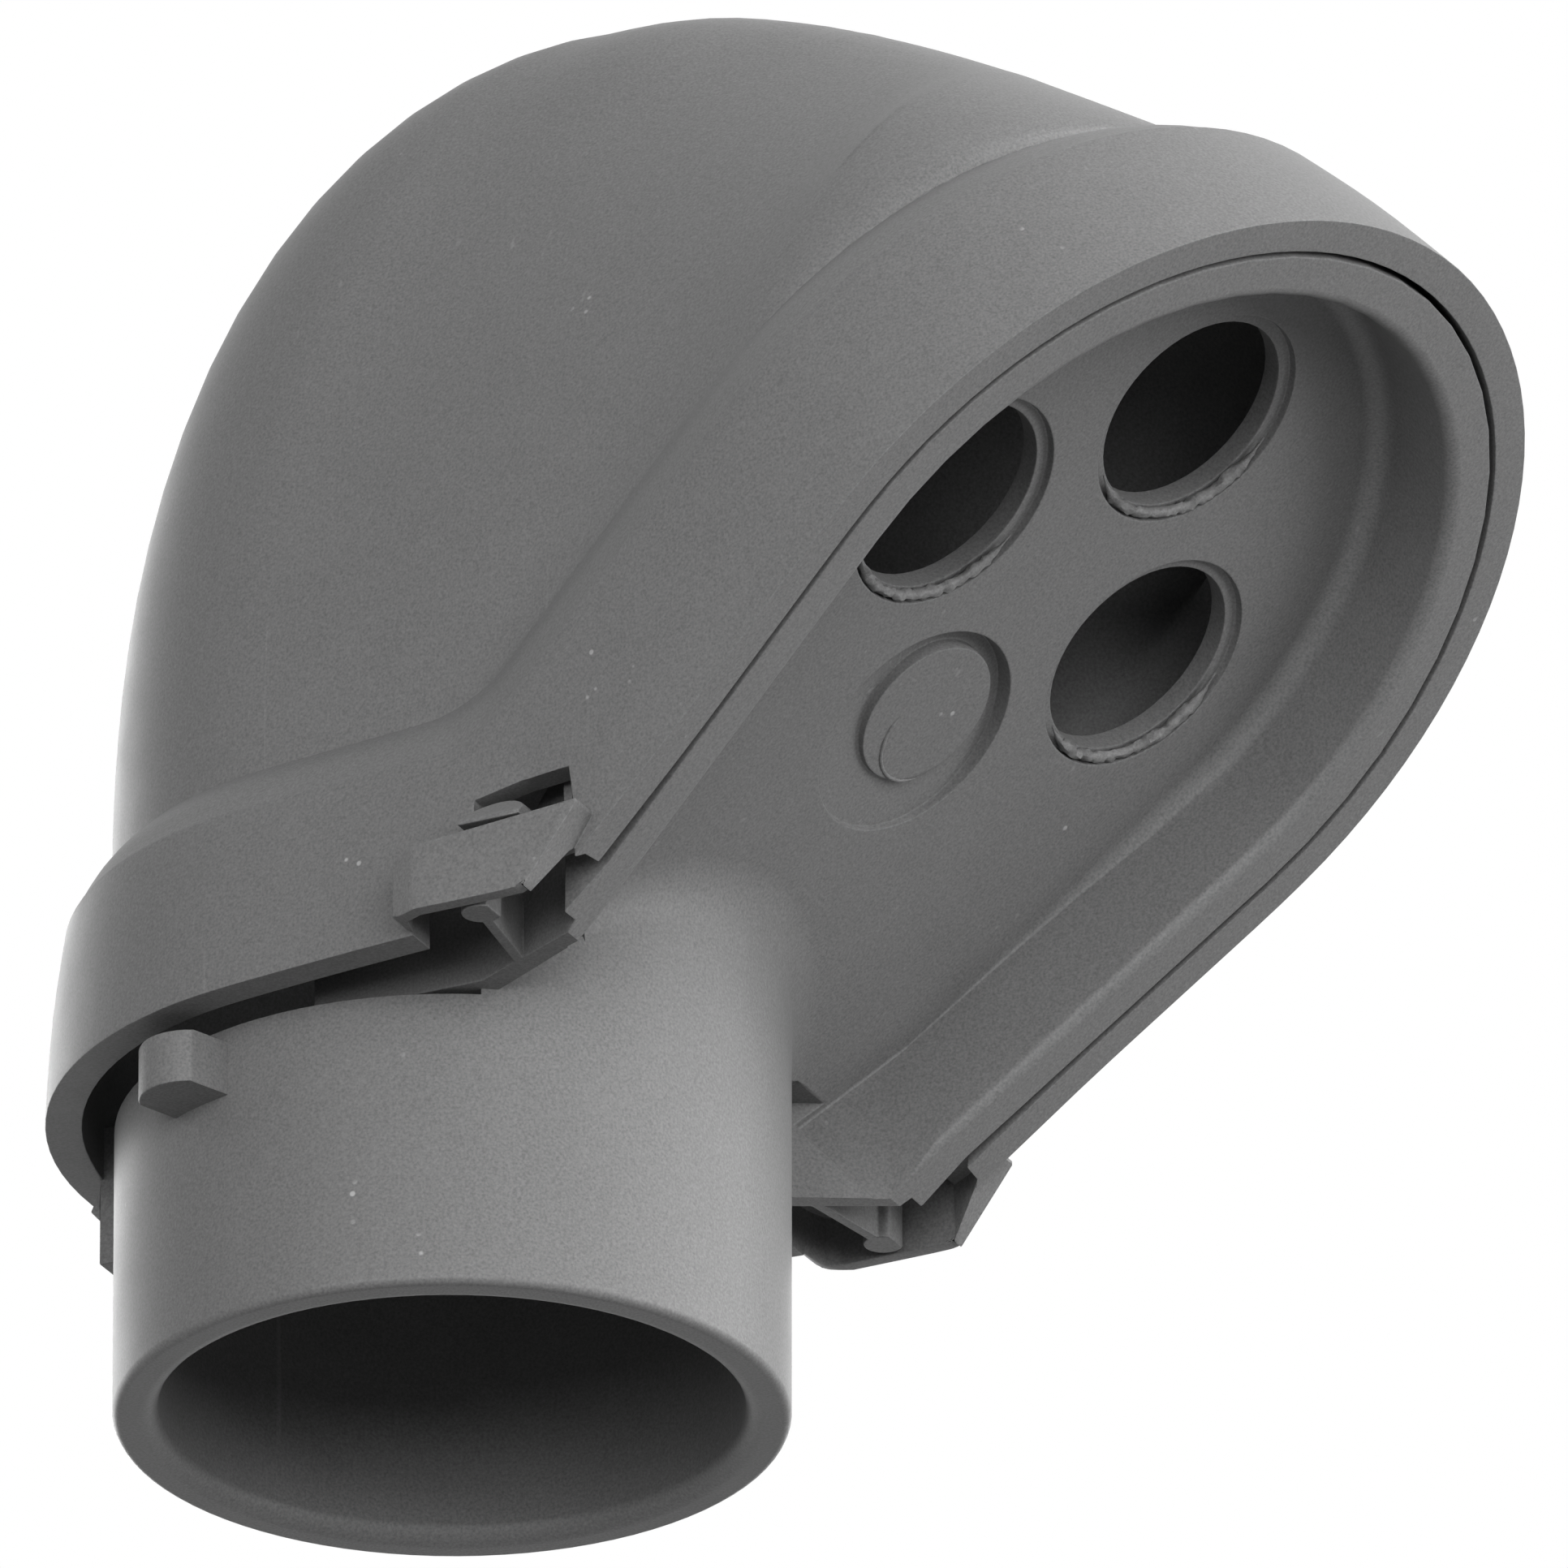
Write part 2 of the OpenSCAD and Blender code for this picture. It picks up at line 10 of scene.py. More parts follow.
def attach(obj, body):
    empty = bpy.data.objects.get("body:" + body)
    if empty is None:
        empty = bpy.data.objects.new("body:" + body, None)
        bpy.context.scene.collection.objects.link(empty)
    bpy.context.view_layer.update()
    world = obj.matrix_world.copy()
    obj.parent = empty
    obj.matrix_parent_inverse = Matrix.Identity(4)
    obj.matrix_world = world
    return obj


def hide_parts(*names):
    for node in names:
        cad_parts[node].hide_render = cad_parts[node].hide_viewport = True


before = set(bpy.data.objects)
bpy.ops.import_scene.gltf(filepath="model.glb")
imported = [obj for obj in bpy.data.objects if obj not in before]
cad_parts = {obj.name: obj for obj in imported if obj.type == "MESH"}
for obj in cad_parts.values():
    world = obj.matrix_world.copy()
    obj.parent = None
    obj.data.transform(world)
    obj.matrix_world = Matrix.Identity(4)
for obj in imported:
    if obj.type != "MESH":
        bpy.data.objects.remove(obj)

bl_info = {
    "name": "Service Entrance Weatherhead",
    "version": (1, 0, 0),
    "blender": (4, 5, 0),
    "location": "View3D > Sidebar > Weatherhead",
    "description": "Dresses the moulded body and hood of a conduit weatherhead",
    "category": "Object",
}

MM = 0.001

# the sloping frame: along the slope, across, and up from the rim
SLOPE = math.radians(41.4)
CORNER = Vector((26.2, 0, 26.5)) * MM
ALONG = Vector((math.cos(SLOPE), 0, math.sin(SLOPE)))
ACROSS = Vector((0, 1, 0))
UPWARD = Vector((-math.sin(SLOPE), 0, math.cos(SLOPE)))

# body
NOSE_ALONG, NOSE_RADIUS, HALF_WIDTH = 46.6 * MM, 42.6 * MM, 36.5 * MM
SKIRT, RIM_GAP, RIM_WIDTH, RECESS_DEPTH = 3.1 * MM, 0.6 * MM, 4.1 * MM, 9.6 * MM
RIM_MIDDLE = SKIRT + RIM_GAP + 0.5 * RIM_WIDTH
TUBE_RADIUS, BORE_RADIUS = 28.05 * MM, 24.25 * MM
MOUTH_TOP = 5 * MM  # height under which an edge belongs to the mouth of the socket
RIM_START, FLOOR_START = 2 * MM, 16 * MM  # how far along the slope their rounds start
NEAR = 0.06 * MM  # a point this near a surface is on it
SHORT = 0.2 * MM  # an edge this short is left out of a round
# open holes: along, across, and the side on which the web tore
HOLES = ((47.2 * MM, -17.6 * MM, math.radians(150)), (65.4 * MM, 0.0, math.radians(140)),
         (47.2 * MM, 17.6 * MM, math.radians(135)))
WEB_RADIUS, WEB_THICK, WEB_SINK, WEB_SPREAD = 9.5 * MM, 0.46 * MM, 0.32 * MM, math.radians(64)
GATE = Vector((30.6, 1.7, 9.85)) * MM
GATE_RADIUS, GATE_THICK = 4.3 * MM, 0.17 * MM
GATE_SIDE, GATE_SPREAD = math.radians(205), math.radians(72)

# hood
SHOULDER = 21.8 * MM  # top of the band over the rim
INSIDE = Vector((26, 0, 70)) * MM  # a point in the hollow of the dome
FOOT = 9 * MM  # height over which the dome swells to its full curve

# lamps: name, place and power in watts, all aimed at the middle of the part
AIM = (0.03, 0, 0.06)
LAMP_SIZE = 0.7
LAMPS = (
    ("Front softbox", (0.1, -1.25, 0.0), 8),
    ("Front right softbox", (0.9, -0.85, 0.05), 8),
    ("Right softbox", (1.25, 0.2, 0.1), 8.5),
    ("Top softbox", (0.9, 0.1, 0.9), 9),
    ("Back softbox", (0.8, 0.8, 0.8), 9),
    ("Left softbox", (-0.9, 0.6, 0.3), 5.5),
    ("Rim softbox", (-0.3, 1.2, 0.3), 2.2),
)
WORLD_FILL = 0.03


# ---- settings ----
class MouldingSettings(bpy.types.PropertyGroup):
    """Rounds and fillets of the mouldings"""

    edge_round: FloatProperty(
        name="Edge round", description="Round of the plain moulded edges",
        default=0.2 * MM, min=0, unit="LENGTH")
    rim_round: FloatProperty(
        name="Rim round", description="Round of the inner edge of the rim",
        default=1.4 * MM, min=0, unit="LENGTH")
    floor_fillet: FloatProperty(
        name="Floor fillet", description="Fillet where the cable plate meets the recess wall",
        default=2.4 * MM, min=0, unit="LENGTH")
    mouth_round: FloatProperty(
        name="Mouth round", description="Round of the inner edge of the socket",
        default=1.6 * MM, min=0, unit="LENGTH")
    tube_fillet: FloatProperty(
        name="Tube fillet", description="Fillet where the socket meets the cable plate",
        default=3.0 * MM, min=0, unit="LENGTH")


class FinishSettings(bpy.types.PropertyGroup):
    """Colour of the plastic"""

    plastic: FloatVectorProperty(
        name="Plastic", description="Colour of the grey plastic",
        subtype="COLOR", size=3, min=0, max=1, default=(0.155, 0.155, 0.155))


class StageSettings(bpy.types.PropertyGroup):
    """Camera place and framing"""

    azimuth: FloatProperty(
        name="Azimuth", description="Camera direction round the vertical",
        subtype="ANGLE", default=math.radians(26.7))
    elevation: FloatProperty(
        name="Elevation", description="Camera height above the horizon",
        subtype="ANGLE", default=math.radians(-25.0))
    distance: FloatProperty(
        name="Distance", description="Camera distance", default=3.3, unit="LENGTH")
    frame_width: FloatProperty(
        name="Frame width", description="Width of the view at the object",
        default=129.4 * MM, unit="LENGTH")
    centre_right: FloatProperty(
        name="Centre right", description="Middle of the view, to the right of the socket's axis",
        default=27.4 * MM, unit="LENGTH")
    centre_up: FloatProperty(
        name="Centre up", description="Middle of the view, up from the socket's mouth",
        default=52.65 * MM, unit="LENGTH")


# ---- small helpers ----
def solo(obj):
    """Makes obj the only selected and active object."""
    if bpy.context.object and bpy.context.object.mode != "OBJECT":
        bpy.ops.object.mode_set(mode="OBJECT")
    bpy.ops.object.select_all(action="DESELECT")
    obj.hide_set(False)
    obj.select_set(True)
    bpy.context.view_layer.objects.active = obj


def copy_of(node, name, weld=2e-6, flat=0.3):
    """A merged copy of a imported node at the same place, with its flat faces joined up."""
    obj = bpy.data.objects.new(name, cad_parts[node].data.copy())
    obj.data.name = name
    bpy.context.scene.collection.objects.link(obj)
    solo(obj)
    bpy.ops.object.mode_set(mode="EDIT")
    bpy.ops.mesh.select_all(action="SELECT")
    bpy.ops.mesh.remove_doubles(threshold=weld)
    if flat:
        bpy.ops.mesh.dissolve_limited(angle_limit=math.radians(flat))
    bpy.ops.mesh.customdata_custom_splitnormals_clear()
    bpy.ops.object.mode_set(mode="OBJECT")
    return obj


def apply_modifier(obj, kind, **values):
    """Adds a modifier with these values and applies it."""
    solo(obj)
    mod = obj.modifiers.new(kind.title(), kind)
    for key, value in values.items():
        setattr(mod, key, value)
    bpy.ops.object.modifier_apply(modifier=mod.name)


def on_slope(point):
    """A point along the slope, across, and up from the rim."""
    x, z = point[0] - CORNER.x, point[2] - CORNER.z
    return (x * math.cos(SLOPE) + z * math.sin(SLOPE), point[1],
            z * math.cos(SLOPE) - x * math.sin(SLOPE))


def inset_at(point):
    """How far a point is inside the outer outline of the sloping part."""
    u, y, _ = on_slope(point)
    if u > NOSE_ALONG:
        return NOSE_RADIUS - math.hypot(u - NOSE_ALONG, y)
    return HALF_WIDTH + (NOSE_RADIUS - HALF_WIDTH) * max(0, u / NOSE_ALONG - 0.1) - abs(y)


def over(value, low, high):
    """Where a value is from low to high, as a share from 0 to 1."""
    return min(1, max(0, (value - low) / (high - low)))


def eased(share):
    """A share from 0 to 1 that starts and ends gently."""
    return share * share * (3 - 2 * share)


def pick_edges(obj, test, sharper=30, clear=0.0):
    """Goes to edit mode and selects the sharp edges whose two ends pass the test.

    An end that meets an edge no longer than clear leaves its edge out.
    """
    solo(obj)
    bpy.ops.object.mode_set(mode="EDIT")
    bpy.ops.mesh.select_mode(type="EDGE")
    bpy.ops.mesh.select_all(action="DESELECT")
    mesh = bmesh.from_edit_mesh(obj.data)

    def passes(vert):
        return test(vert.co) and (
            not clear or min(edge.calc_length() for edge in vert.link_edges) > clear)

    found = 0
    for edge in mesh.edges:
        if len(edge.link_faces) == 2 and math.degrees(edge.calc_face_angle()) > sharper \
                and all(passes(vert) for vert in edge.verts):
            edge.select_set(True)
            found += 1
    bmesh.update_edit_mesh(obj.data)
    return found


def round_edges(obj, width, segments, test, sharper=30, clamp=True, clear=0.0):
    """Rounds the edges that pick_edges finds, then merges what the round left too small."""
    if not pick_edges(obj, test, sharper, clear):
        raise RuntimeError("no edge found to round on " + obj.name)
    bpy.ops.mesh.bevel(offset=width, segments=segments, affect="EDGES", clamp_overlap=clamp,
                       profile=0.5)
    bpy.ops.mesh.select_all(action="SELECT")
    bpy.ops.mesh.remove_doubles(threshold=0.02 * MM)
    bpy.ops.mesh.dissolve_degenerate(threshold=0.02 * MM)
    bpy.ops.object.mode_set(mode="OBJECT")


def shade(obj, angle):
    """Smooth shading up to this angle, with flat faces kept flat."""
    solo(obj)
    bpy.ops.object.shade_smooth_by_angle(angle=math.radians(angle))
    apply_modifier(obj, "WEIGHTED_NORMAL", keep_sharp=True, mode="FACE_AREA", weight=50)


# ---- plastic ----
def clad(obj, material):
    """Gives the whole piece one material."""
    obj.data.materials.clear()
    obj.data.materials.append(material)


def node_of(tree, kind, at, **values):
    """A new shader node with these values of its inputs or attributes."""
    node = tree.nodes.new(kind)
    node.location = at
    for key, value in values.items():
        if key in node.inputs:
            node.inputs[key].default_value = value
        else:
            setattr(node, key, value)
    return node


def moulded_group():
    """Shader group: mottled grain, pale specks and hairline scratches of moulded plastic."""
    group = bpy.data.node_groups.new("Moulded grain", "ShaderNodeTree")
    face = group.interface
    face.new_socket("Color", in_out="INPUT", socket_type="NodeSocketColor")
    for name, value in (("Grain size", 0.24), ("Grain", 1.1), ("Mottle", 0.16), ("Specks", 0.55),
                        ("Scratches", 0.1)):
        face.new_socket(name, in_out="INPUT", socket_type="NodeSocketFloat").default_value = value
    face.new_socket("Color", in_out="OUTPUT", socket_type="NodeSocketColor")
    face.new_socket("Roughness", in_out="OUTPUT", socket_type="NodeSocketFloat")
    face.new_socket("Height", in_out="OUTPUT", socket_type="NodeSocketFloat")
    link = group.links.new
    gin = node_of(group, "NodeGroupInput", (-1400, 0))
    gout = node_of(group, "NodeGroupOutput", (900, 0))
    place = node_of(group, "ShaderNodeTexCoord", (-1400, 400))
    grain_scale = node_of(group, "ShaderNodeMath", (-1200, 200), operation="DIVIDE")
    grain_scale.inputs[0].default_value = 1000
    link(gin.outputs["Grain size"], grain_scale.inputs[1])
    fine = node_of(group, "ShaderNodeTexNoise", (-1000, 300), Detail=2.0, Roughness=0.6)
    link(place.outputs["Object"], fine.inputs["Vector"])
    link(grain_scale.outputs[0], fine.inputs["Scale"])
    broad = node_of(group, "ShaderNodeTexNoise", (-1000, 0), Scale=160.0, Detail=4.0, Roughness=0.6)
    link(place.outputs["Object"], broad.inputs["Vector"])

    def centred(source, amount, at):
        """A source minus a half, times an amount."""
        less = node_of(group, "ShaderNodeMath", at, operation="SUBTRACT")
        less.inputs[1].default_value = 0.5
        link(source, less.inputs[0])
        times = node_of(group, "ShaderNodeMath", (at[0] + 180, at[1]), operation="MULTIPLY")
        link(less.outputs[0], times.inputs[0])
        link(amount, times.inputs[1])
        return times.outputs[0]

    def maths(a, b, at, operation="ADD"):
        """A math node on two numbers or outputs."""
        node = node_of(group, "ShaderNodeMath", at, operation=operation)
        for socket, value in zip(node.inputs, (a, b)):
            if isinstance(value, (int, float)):
                socket.default_value = value
            else:
                link(value, socket)
        return node.outputs[0]

    tone = maths(centred(fine.outputs["Fac"], gin.outputs["Grain"], (-800, 300)),
                 centred(broad.outputs["Fac"], gin.outputs["Mottle"], (-800, 0)), (-400, 200))
    tone = maths(tone, 1.0, (-200, 200))
    # pale specks in loose clusters
    cells = node_of(group, "ShaderNodeTexVoronoi", (-1000, -300), Scale=700.0)
    link(place.outputs["Object"], cells.inputs["Vector"])
    dot = node_of(group, "ShaderNodeMapRange", (-800, -300), **{
        "From Min": 0.2, "From Max": 0.12, "To Min": 0.0, "To Max": 1.0})
    link(cells.outputs["Distance"], dot.inputs["Value"])
    drift = node_of(group, "ShaderNodeTexNoise", (-1000, -550), Scale=95.0, Detail=2.0)
    link(place.outputs["Object"], drift.inputs["Vector"])
    cluster = node_of(group, "ShaderNodeMapRange", (-800, -550), **{
        "From Min": 0.68, "From Max": 0.72})
    link(drift.outputs["Fac"], cluster.inputs["Value"])
    speck = maths(maths(dot.outputs[0], cluster.outputs[0], (-600, -400), "MULTIPLY"),
                  gin.outputs["Specks"], (-400, -400), "MULTIPLY")
    # hairline scratches: a noise stretched along the height
    stretch = node_of(group, "ShaderNodeMapping", (-1200, -800), Scale=(900.0, 900.0, 28.0))
    link(place.outputs["Object"], stretch.inputs["Vector"])
    lines = node_of(group, "ShaderNodeTexNoise", (-1000, -800), Scale=1.0, Detail=1.0)
    link(stretch.outputs[0], lines.inputs["Vector"])
    hair = node_of(group, "ShaderNodeMapRange", (-800, -800), **{
        "From Min": 0.76, "From Max": 0.82})
    link(lines.outputs["Fac"], hair.inputs["Value"])
    scratch = maths(hair.outputs[0], gin.outputs["Scratches"], (-400, -700), "MULTIPLY")
    pale = maths(speck, scratch, (-200, -500))
    tint = node_of(group, "ShaderNodeMix", (100, 200), data_type="RGBA", blend_type="MULTIPLY")
    tint.inputs["Factor"].default_value = 1.0
    link(gin.outputs["Color"], tint.inputs[6])
    link(tone, tint.inputs[7])
    lift = node_of(group, "ShaderNodeMix", (350, 100), data_type="RGBA")
    lift.inputs[7].default_value = (0.6, 0.6, 0.6, 1)
    link(pale, lift.inputs["Factor"])
    link(tint.outputs[2], lift.inputs[6])
    link(lift.outputs[2], gout.inputs["Color"])
    rough = node_of(group, "ShaderNodeMapRange", (350, -100), **{"To Min": 0.42, "To Max": 0.56})
    link(broad.outputs["Fac"], rough.inputs["Value"])
    link(rough.outputs[0], gout.inputs["Roughness"])
    link(maths(fine.outputs["Fac"], maths(pale, 0.6, (350, -300), "MULTIPLY"), (550, -300)),
         gout.inputs["Height"])
    return group


def grain_group():
    """The shared grain group, built once."""
    return bpy.data.node_groups.get("Moulded grain") or moulded_group()


def plastic(name, group, colour, bump=0.12, **amounts):
    """A grey moulded plastic with its own amounts of grain, specks and scratches."""
    mat = bpy.data.materials.new(name)
    mat.use_nodes = True
    tree = mat.node_tree
    shader = tree.nodes["Principled BSDF"]
    shader.inputs["Specular IOR Level"].default_value = 0.3
    grain = node_of(tree, "ShaderNodeGroup", (-600, 200))
    grain.node_tree = group
    grain.inputs["Color"].default_value = (*colour, 1)
    for key, value in amounts.items():
        grain.inputs[key.replace("_", " ").capitalize()].default_value = value
    relief = node_of(tree, "ShaderNodeBump", (-300, -100), Strength=bump, Distance=0.1 * MM)
    tree.links.new(grain.outputs["Color"], shader.inputs["Base Color"])
    tree.links.new(grain.outputs["Roughness"], shader.inputs["Roughness"])
    tree.links.new(grain.outputs["Height"], relief.inputs["Height"])
    tree.links.new(relief.outputs["Normal"], shader.inputs["Normal"])
    return mat


# ---- pieces ----
class WEATHERHEAD_OT_body(bpy.types.Operator):
    """Socket, tray, cable plate, stop lugs and latches"""

    bl_idname = "weatherhead.body"
    bl_label = "Moulded body"

    def execute(self, context):
        sizes, finish = context.scene.wh_moulding, context.scene.wh_finish
        obj = copy_of("body", "moulded_body")

        def on_tube(point, radius, near=NEAR):
            return abs(math.hypot(point.x, point.y) - radius) < near

        def on_plate(point):
            return abs(on_slope(point)[2] - RECESS_DEPTH) < NEAR

        round_edges(obj, sizes.mouth_round, 5,
                    lambda p: abs(p.z) < NEAR and on_tube(p, BORE_RADIUS))
        round_edges(obj, sizes.rim_round, 4, lambda p: abs(on_slope(p)[2]) < NEAR
                    and on_slope(p)[0] > RIM_START and inset_at(p) > RIM_MIDDLE)
        round_edges(obj, sizes.floor_fillet, 5, lambda p: on_slope(p)[0] > FLOOR_START
                    and on_plate(p) and inset_at(p) < RIM_MIDDLE + 0.7 * RIM_WIDTH)
        round_edges(obj, sizes.tube_fillet, 5,
                    lambda p: on_plate(p) and on_tube(p, TUBE_RADIUS), clamp=False)
        round_edges(obj, sizes.edge_round, 2,
                    lambda p: p.z < MOUTH_TOP or not on_tube(p, TUBE_RADIUS, 4 * NEAR),
                    sharper=35, clamp=False, clear=SHORT)
        shade(obj, 34)
        clad(obj, plastic("Body PVC", grain_group(), finish.plastic))
        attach(obj, "body")
        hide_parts("body")
        return {"FINISHED"}


def height_over_shoulder(point):
    """How far a point of the hood is above the shoulder of its band."""
    return min(point[2] - CORNER.z, on_slope(point)[2]) - SHOULDER


def fill_flanks(obj):
    """Swells the sides of the dome out to one full, unbroken curve."""
    solo(obj)
    mesh = obj.data
    faces = {}
    for face in mesh.polygons:
        for index in face.vertices:
            faces.setdefault(index, []).append(face.normal)
    dome = {v.index: height_over_shoulder(v.co) for v in mesh.vertices
            if height_over_shoulder(v.co) > -0.3 * MM
            and all(n.dot(v.co - INSIDE) > 0 for n in faces.get(v.index, ()))}
    before = {i: mesh.vertices[i].co.copy() for i in dome}
    group = obj.vertex_groups.new(name="dome")
    for index, height in dome.items():
        group.add([index], eased(over(height, 0, FOOT)), "REPLACE")
    hull = bpy.data.objects.new("dome_hull", mesh.copy())
    bpy.context.scene.collection.objects.link(hull)
    solo(hull)
    bpy.ops.object.mode_set(mode="EDIT")
    shell = bmesh.from_edit_mesh(hull.data)
    bmesh.ops.delete(shell, geom=[v for v in shell.verts if v.index not in dome], context="VERTS")
    bmesh.update_edit_mesh(hull.data)
    bpy.ops.mesh.select_all(action="SELECT")
    bpy.ops.mesh.convex_hull()
    bpy.ops.object.mode_set(mode="OBJECT")
    apply_modifier(obj, "SHRINKWRAP", target=hull, vertex_group="dome",
                   wrap_method="NEAREST_SURFACEPOINT", wrap_mode="ON_SURFACE")
    bpy.data.objects.remove(hull)
    flank = obj.vertex_groups.new(name="flank")
    for index, place in before.items():
        moved = over((mesh.vertices[index].co - place).length, 0, 0.6 * MM)
        flank.add([index], moved * over(dome[index], 1 * MM, 6 * MM), "REPLACE")
    apply_modifier(obj, "SMOOTH", factor=0.5, iterations=14, vertex_group="flank")


def smooth_skin(obj):
    """Joins triangles to quads and divides the skin once, with the true edges kept."""
    solo(obj)
    bpy.ops.object.mode_set(mode="EDIT")
    bpy.ops.mesh.select_all(action="SELECT")
    bpy.ops.mesh.tris_convert_to_quads(face_threshold=math.radians(30),
                                       shape_threshold=math.radians(60))
    bpy.ops.object.mode_set(mode="OBJECT")
    pick_edges(obj, lambda p: True, 24)
    bpy.ops.transform.edge_crease(value=1)
    bpy.ops.object.mode_set(mode="OBJECT")
    apply_modifier(obj, "SUBSURF", levels=1, render_levels=1)


class WEATHERHEAD_OT_hood(bpy.types.Operator):
    """Domed hood with its skirt, latch straps and rear tongue"""

    bl_idname = "weatherhead.hood"
    bl_label = "Moulded hood"

    def execute(self, context):
        sizes, finish = context.scene.wh_moulding, context.scene.wh_finish
        obj = copy_of("hood", "moulded_hood", flat=0)
        fill_flanks(obj)
        smooth_skin(obj)
        round_edges(obj, 0.6 * sizes.edge_round, 2, lambda p: True, sharper=60, clamp=False)
        shade(obj, 34)
        clad(obj, plastic("Hood PVC", grain_group(), finish.plastic))
        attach(obj, "hood")
        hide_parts("hood")
        return {"FINISHED"}


def ragged_arc(name, centre, radius, thick, facing, spread, ragged):
    """A torn ridge along part of a circle on the cable plate, thinning out at its ends."""
    bpy.ops.object.select_all(action="DESELECT")
    bpy.ops.mesh.primitive_torus_add(major_radius=radius, minor_radius=thick,
                                     major_segments=144, minor_segments=10)
    obj = bpy.context.object
    obj.name = obj.data.name = name
    bpy.ops.object.mode_set(mode="EDIT")
    mesh = bmesh.from_edit_mesh(obj.data)

    def away(point):
        turn = math.atan2(point.y, point.x) - facing
        return abs((turn + math.pi) % math.tau - math.pi)

    gone = [f for f in mesh.faces if away(f.calc_center_median()) > spread]
    bmesh.ops.delete(mesh, geom=gone, context="FACES")
    for vert in mesh.verts:
        line = Vector((vert.co.x, vert.co.y, 0)).normalized() * radius
        share = max(0.15, over(spread - away(vert.co), 0, 0.35))
        rough = 1 + ragged * noise.noise((vert.co + centre) * 1900)
        vert.co = line + (vert.co - line) * share * rough
    bmesh.update_edit_mesh(obj.data)
    bpy.ops.mesh.select_all(action="SELECT")
    bpy.ops.mesh.fill_holes(sides=0)
    bpy.ops.mesh.select_all(action="SELECT")
    bpy.ops.mesh.normals_make_consistent(inside=False)
    bpy.ops.object.mode_set(mode="OBJECT")
    obj.rotation_euler = (0, -SLOPE, 0)
    obj.location = CORNER + ALONG * centre.x + ACROSS * centre.y + UPWARD * centre.z
    solo(obj)
    bpy.ops.object.transform_apply(location=True, rotation=True, scale=True)
    bpy.ops.object.shade_smooth_by_angle(angle=math.radians(50))
    return obj


class WEATHERHEAD_OT_torn_edges(bpy.types.Operator):
    """Torn webs left round the open holes, and the gate mark on the closed one"""

    bl_idname = "weatherhead.torn_edges"
    bl_label = "Torn edges"

    def execute(self, context):
        pale = tuple(1.08 * part for part in context.scene.wh_finish.plastic)
        torn = plastic("Torn PVC", grain_group(), pale, bump=0.5, mottle=0.4, specks=0.9)
        arcs = [ragged_arc(f"torn_web_{i + 1}", Vector((u, y, RECESS_DEPTH + WEB_SINK)),
                           WEB_RADIUS, WEB_THICK, facing, WEB_SPREAD, ragged=0.8)
                for i, (u, y, facing) in enumerate(HOLES)]
        arcs.append(ragged_arc("gate_mark", GATE, GATE_RADIUS, GATE_THICK, GATE_SIDE,
                               GATE_SPREAD, ragged=0.3))
        for obj in arcs:
            clad(obj, torn)
            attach(obj, "body")
        return {"FINISHED"}


# ---- stage ----
def softbox(name, at, power):
    """A square area lamp at a place, aimed at the part."""
    data = bpy.data.lights.new(name, "AREA")
    data.size = LAMP_SIZE
    data.energy = power
    lamp = bpy.data.objects.new(name, data)
    lamp.location = at
    lamp.rotation_euler = (Vector(AIM) - Vector(at)).to_track_quat("-Z", "Y").to_euler()
    bpy.context.scene.collection.objects.link(lamp)


def seen_mask(tree):
    """A mask that is 1 for camera and glossy rays."""
    path = node_of(tree, "ShaderNodeLightPath", (-600, 300))
    seen = node_of(tree, "ShaderNodeMath", (-400, 300), operation="MAXIMUM")
    tree.links.new(path.outputs["Is Camera Ray"], seen.inputs[0])
    tree.links.new(path.outputs["Is Glossy Ray"], seen.inputs[1])
    return seen.outputs[0]


def mixed(tree, mask, first, second, at):
    """A shader that goes from the first to the second with the mask."""
    mix = node_of(tree, "ShaderNodeMixShader", at)
    for socket, source in zip(mix.inputs, (mask, first, second)):
        tree.links.new(source, socket)
    return mix.outputs[0]


def floor_material():
    """Pale floor that shows white, and is clear from below."""
    mat = bpy.data.materials.new("Floor")
    mat.use_nodes = True
    tree = mat.node_tree
    matt = tree.nodes["Principled BSDF"]
    matt.inputs["Base Color"].default_value = (0.3, 0.3, 0.3, 1)
    matt.inputs["Roughness"].default_value = 0.9
    white = node_of(tree, "ShaderNodeEmission", (0, -300), Strength=1.0)
    clear = node_of(tree, "ShaderNodeBsdfTransparent", (0, -450))
    face = node_of(tree, "ShaderNodeNewGeometry", (-400, -300))
    front = mixed(tree, seen_mask(tree), matt.outputs[0], white.outputs[0], (200, 0))
    both = mixed(tree, face.outputs["Backfacing"], front, clear.outputs[0], (400, 0))
    tree.links.new(both, tree.nodes["Material Output"].inputs["Surface"])
    return mat


def studio_world():
    """White surroundings to the camera and in the gloss, and faint fill light."""
    world = bpy.data.worlds.new("Studio")
    world.use_nodes = True
    tree = world.node_tree
    tree.nodes.clear()
    out = node_of(tree, "ShaderNodeOutputWorld", (400, 0))
    fill = node_of(tree, "ShaderNodeBackground", (0, 100), Strength=WORLD_FILL)
    white = node_of(tree, "ShaderNodeBackground", (0, -100), Strength=1.0)
    for shader in (fill, white):
        shader.inputs["Color"].default_value = (1, 1, 1, 1)
    surface = mixed(tree, seen_mask(tree), fill.outputs[0], white.outputs[0], (200, 0))
    tree.links.new(surface, out.inputs["Surface"])
    return world


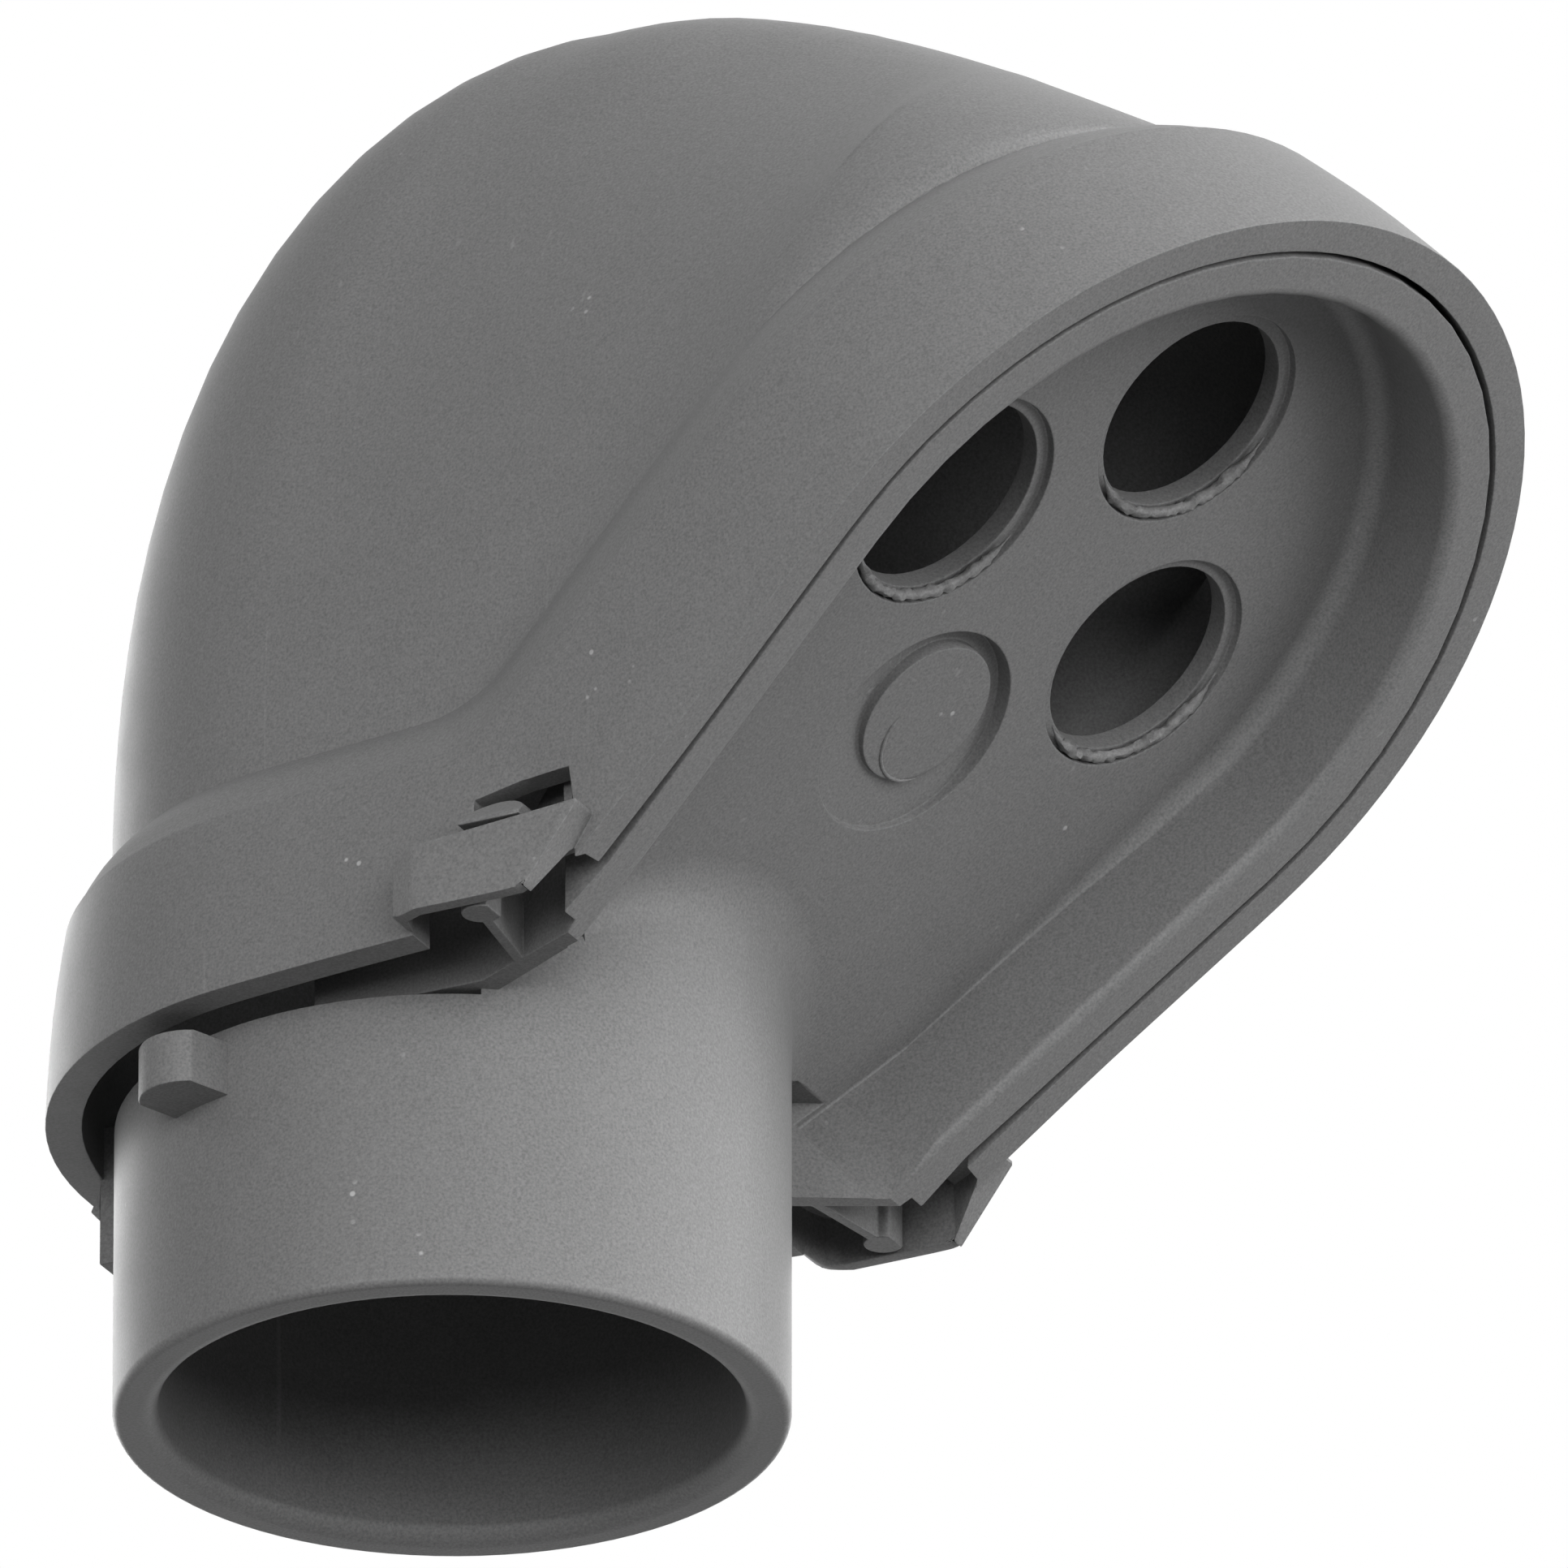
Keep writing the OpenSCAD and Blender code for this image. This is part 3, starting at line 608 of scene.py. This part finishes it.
def camera_for(stage):
    """The camera, from below the horizon."""
    turn, height = stage.azimuth, stage.elevation
    ahead = Vector((-math.sin(turn) * math.cos(height), math.cos(turn) * math.cos(height),
                    -math.sin(height)))
    right = Vector((math.cos(turn), math.sin(turn), 0))
    up = right.cross(ahead)
    centre = right * stage.centre_right + up * stage.centre_up
    data = bpy.data.cameras.new("Camera")
    data.sensor_width = 36
    data.lens = data.sensor_width * stage.distance / stage.frame_width
    data.clip_start, data.clip_end = 0.1, 100
    camera = bpy.data.objects.new("Camera", data)
    camera.location = centre - ahead * stage.distance
    camera.rotation_euler = ahead.to_track_quat("-Z", "Y").to_euler()
    bpy.context.scene.collection.objects.link(camera)
    return camera


class WEATHERHEAD_OT_stage(bpy.types.Operator):
    """Floor, white surroundings, lamps and camera"""

    bl_idname = "weatherhead.stage"
    bl_label = "Stage"

    def execute(self, context):
        context.scene.camera = camera_for(context.scene.wh_stage)
        bpy.ops.object.select_all(action="DESELECT")
        bpy.ops.mesh.primitive_plane_add(size=8, location=(0, 0, -1.0))
        floor = context.object
        floor.name = "floor"
        bpy.ops.object.transform_apply(location=True)
        clad(floor, floor_material())
        context.scene.world = studio_world()
        for name, at, power in LAMPS:
            softbox(name, at, power)
        context.scene.view_settings.view_transform = "Standard"
        return {"FINISHED"}


class WEATHERHEAD_PT_panel(bpy.types.Panel):
    """Lists the pieces and the stage"""

    bl_label = "Weatherhead"
    bl_idname = "WEATHERHEAD_PT_panel"
    bl_space_type = "VIEW_3D"
    bl_region_type = "UI"
    bl_category = "Weatherhead"

    def draw(self, context):
        for operator in OPERATORS:
            self.layout.operator(operator.bl_idname)


OPERATORS = (WEATHERHEAD_OT_body, WEATHERHEAD_OT_torn_edges, WEATHERHEAD_OT_hood,
             WEATHERHEAD_OT_stage)
SETTINGS = {"wh_moulding": MouldingSettings, "wh_finish": FinishSettings,
            "wh_stage": StageSettings}
CLASSES = (*SETTINGS.values(), *OPERATORS, WEATHERHEAD_PT_panel)


def register():
    for cls in CLASSES:
        bpy.utils.register_class(cls)
    for name, cls in SETTINGS.items():
        setattr(bpy.types.Scene, name, PointerProperty(type=cls))


def unregister():
    for name in SETTINGS:
        delattr(bpy.types.Scene, name)
    for cls in reversed(CLASSES):
        bpy.utils.unregister_class(cls)


def main():
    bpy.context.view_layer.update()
    register()
    bpy.ops.weatherhead.body()
    bpy.ops.weatherhead.torn_edges()
    bpy.ops.weatherhead.hood()
    bpy.ops.weatherhead.stage()


if __name__ == "__main__":
    main()
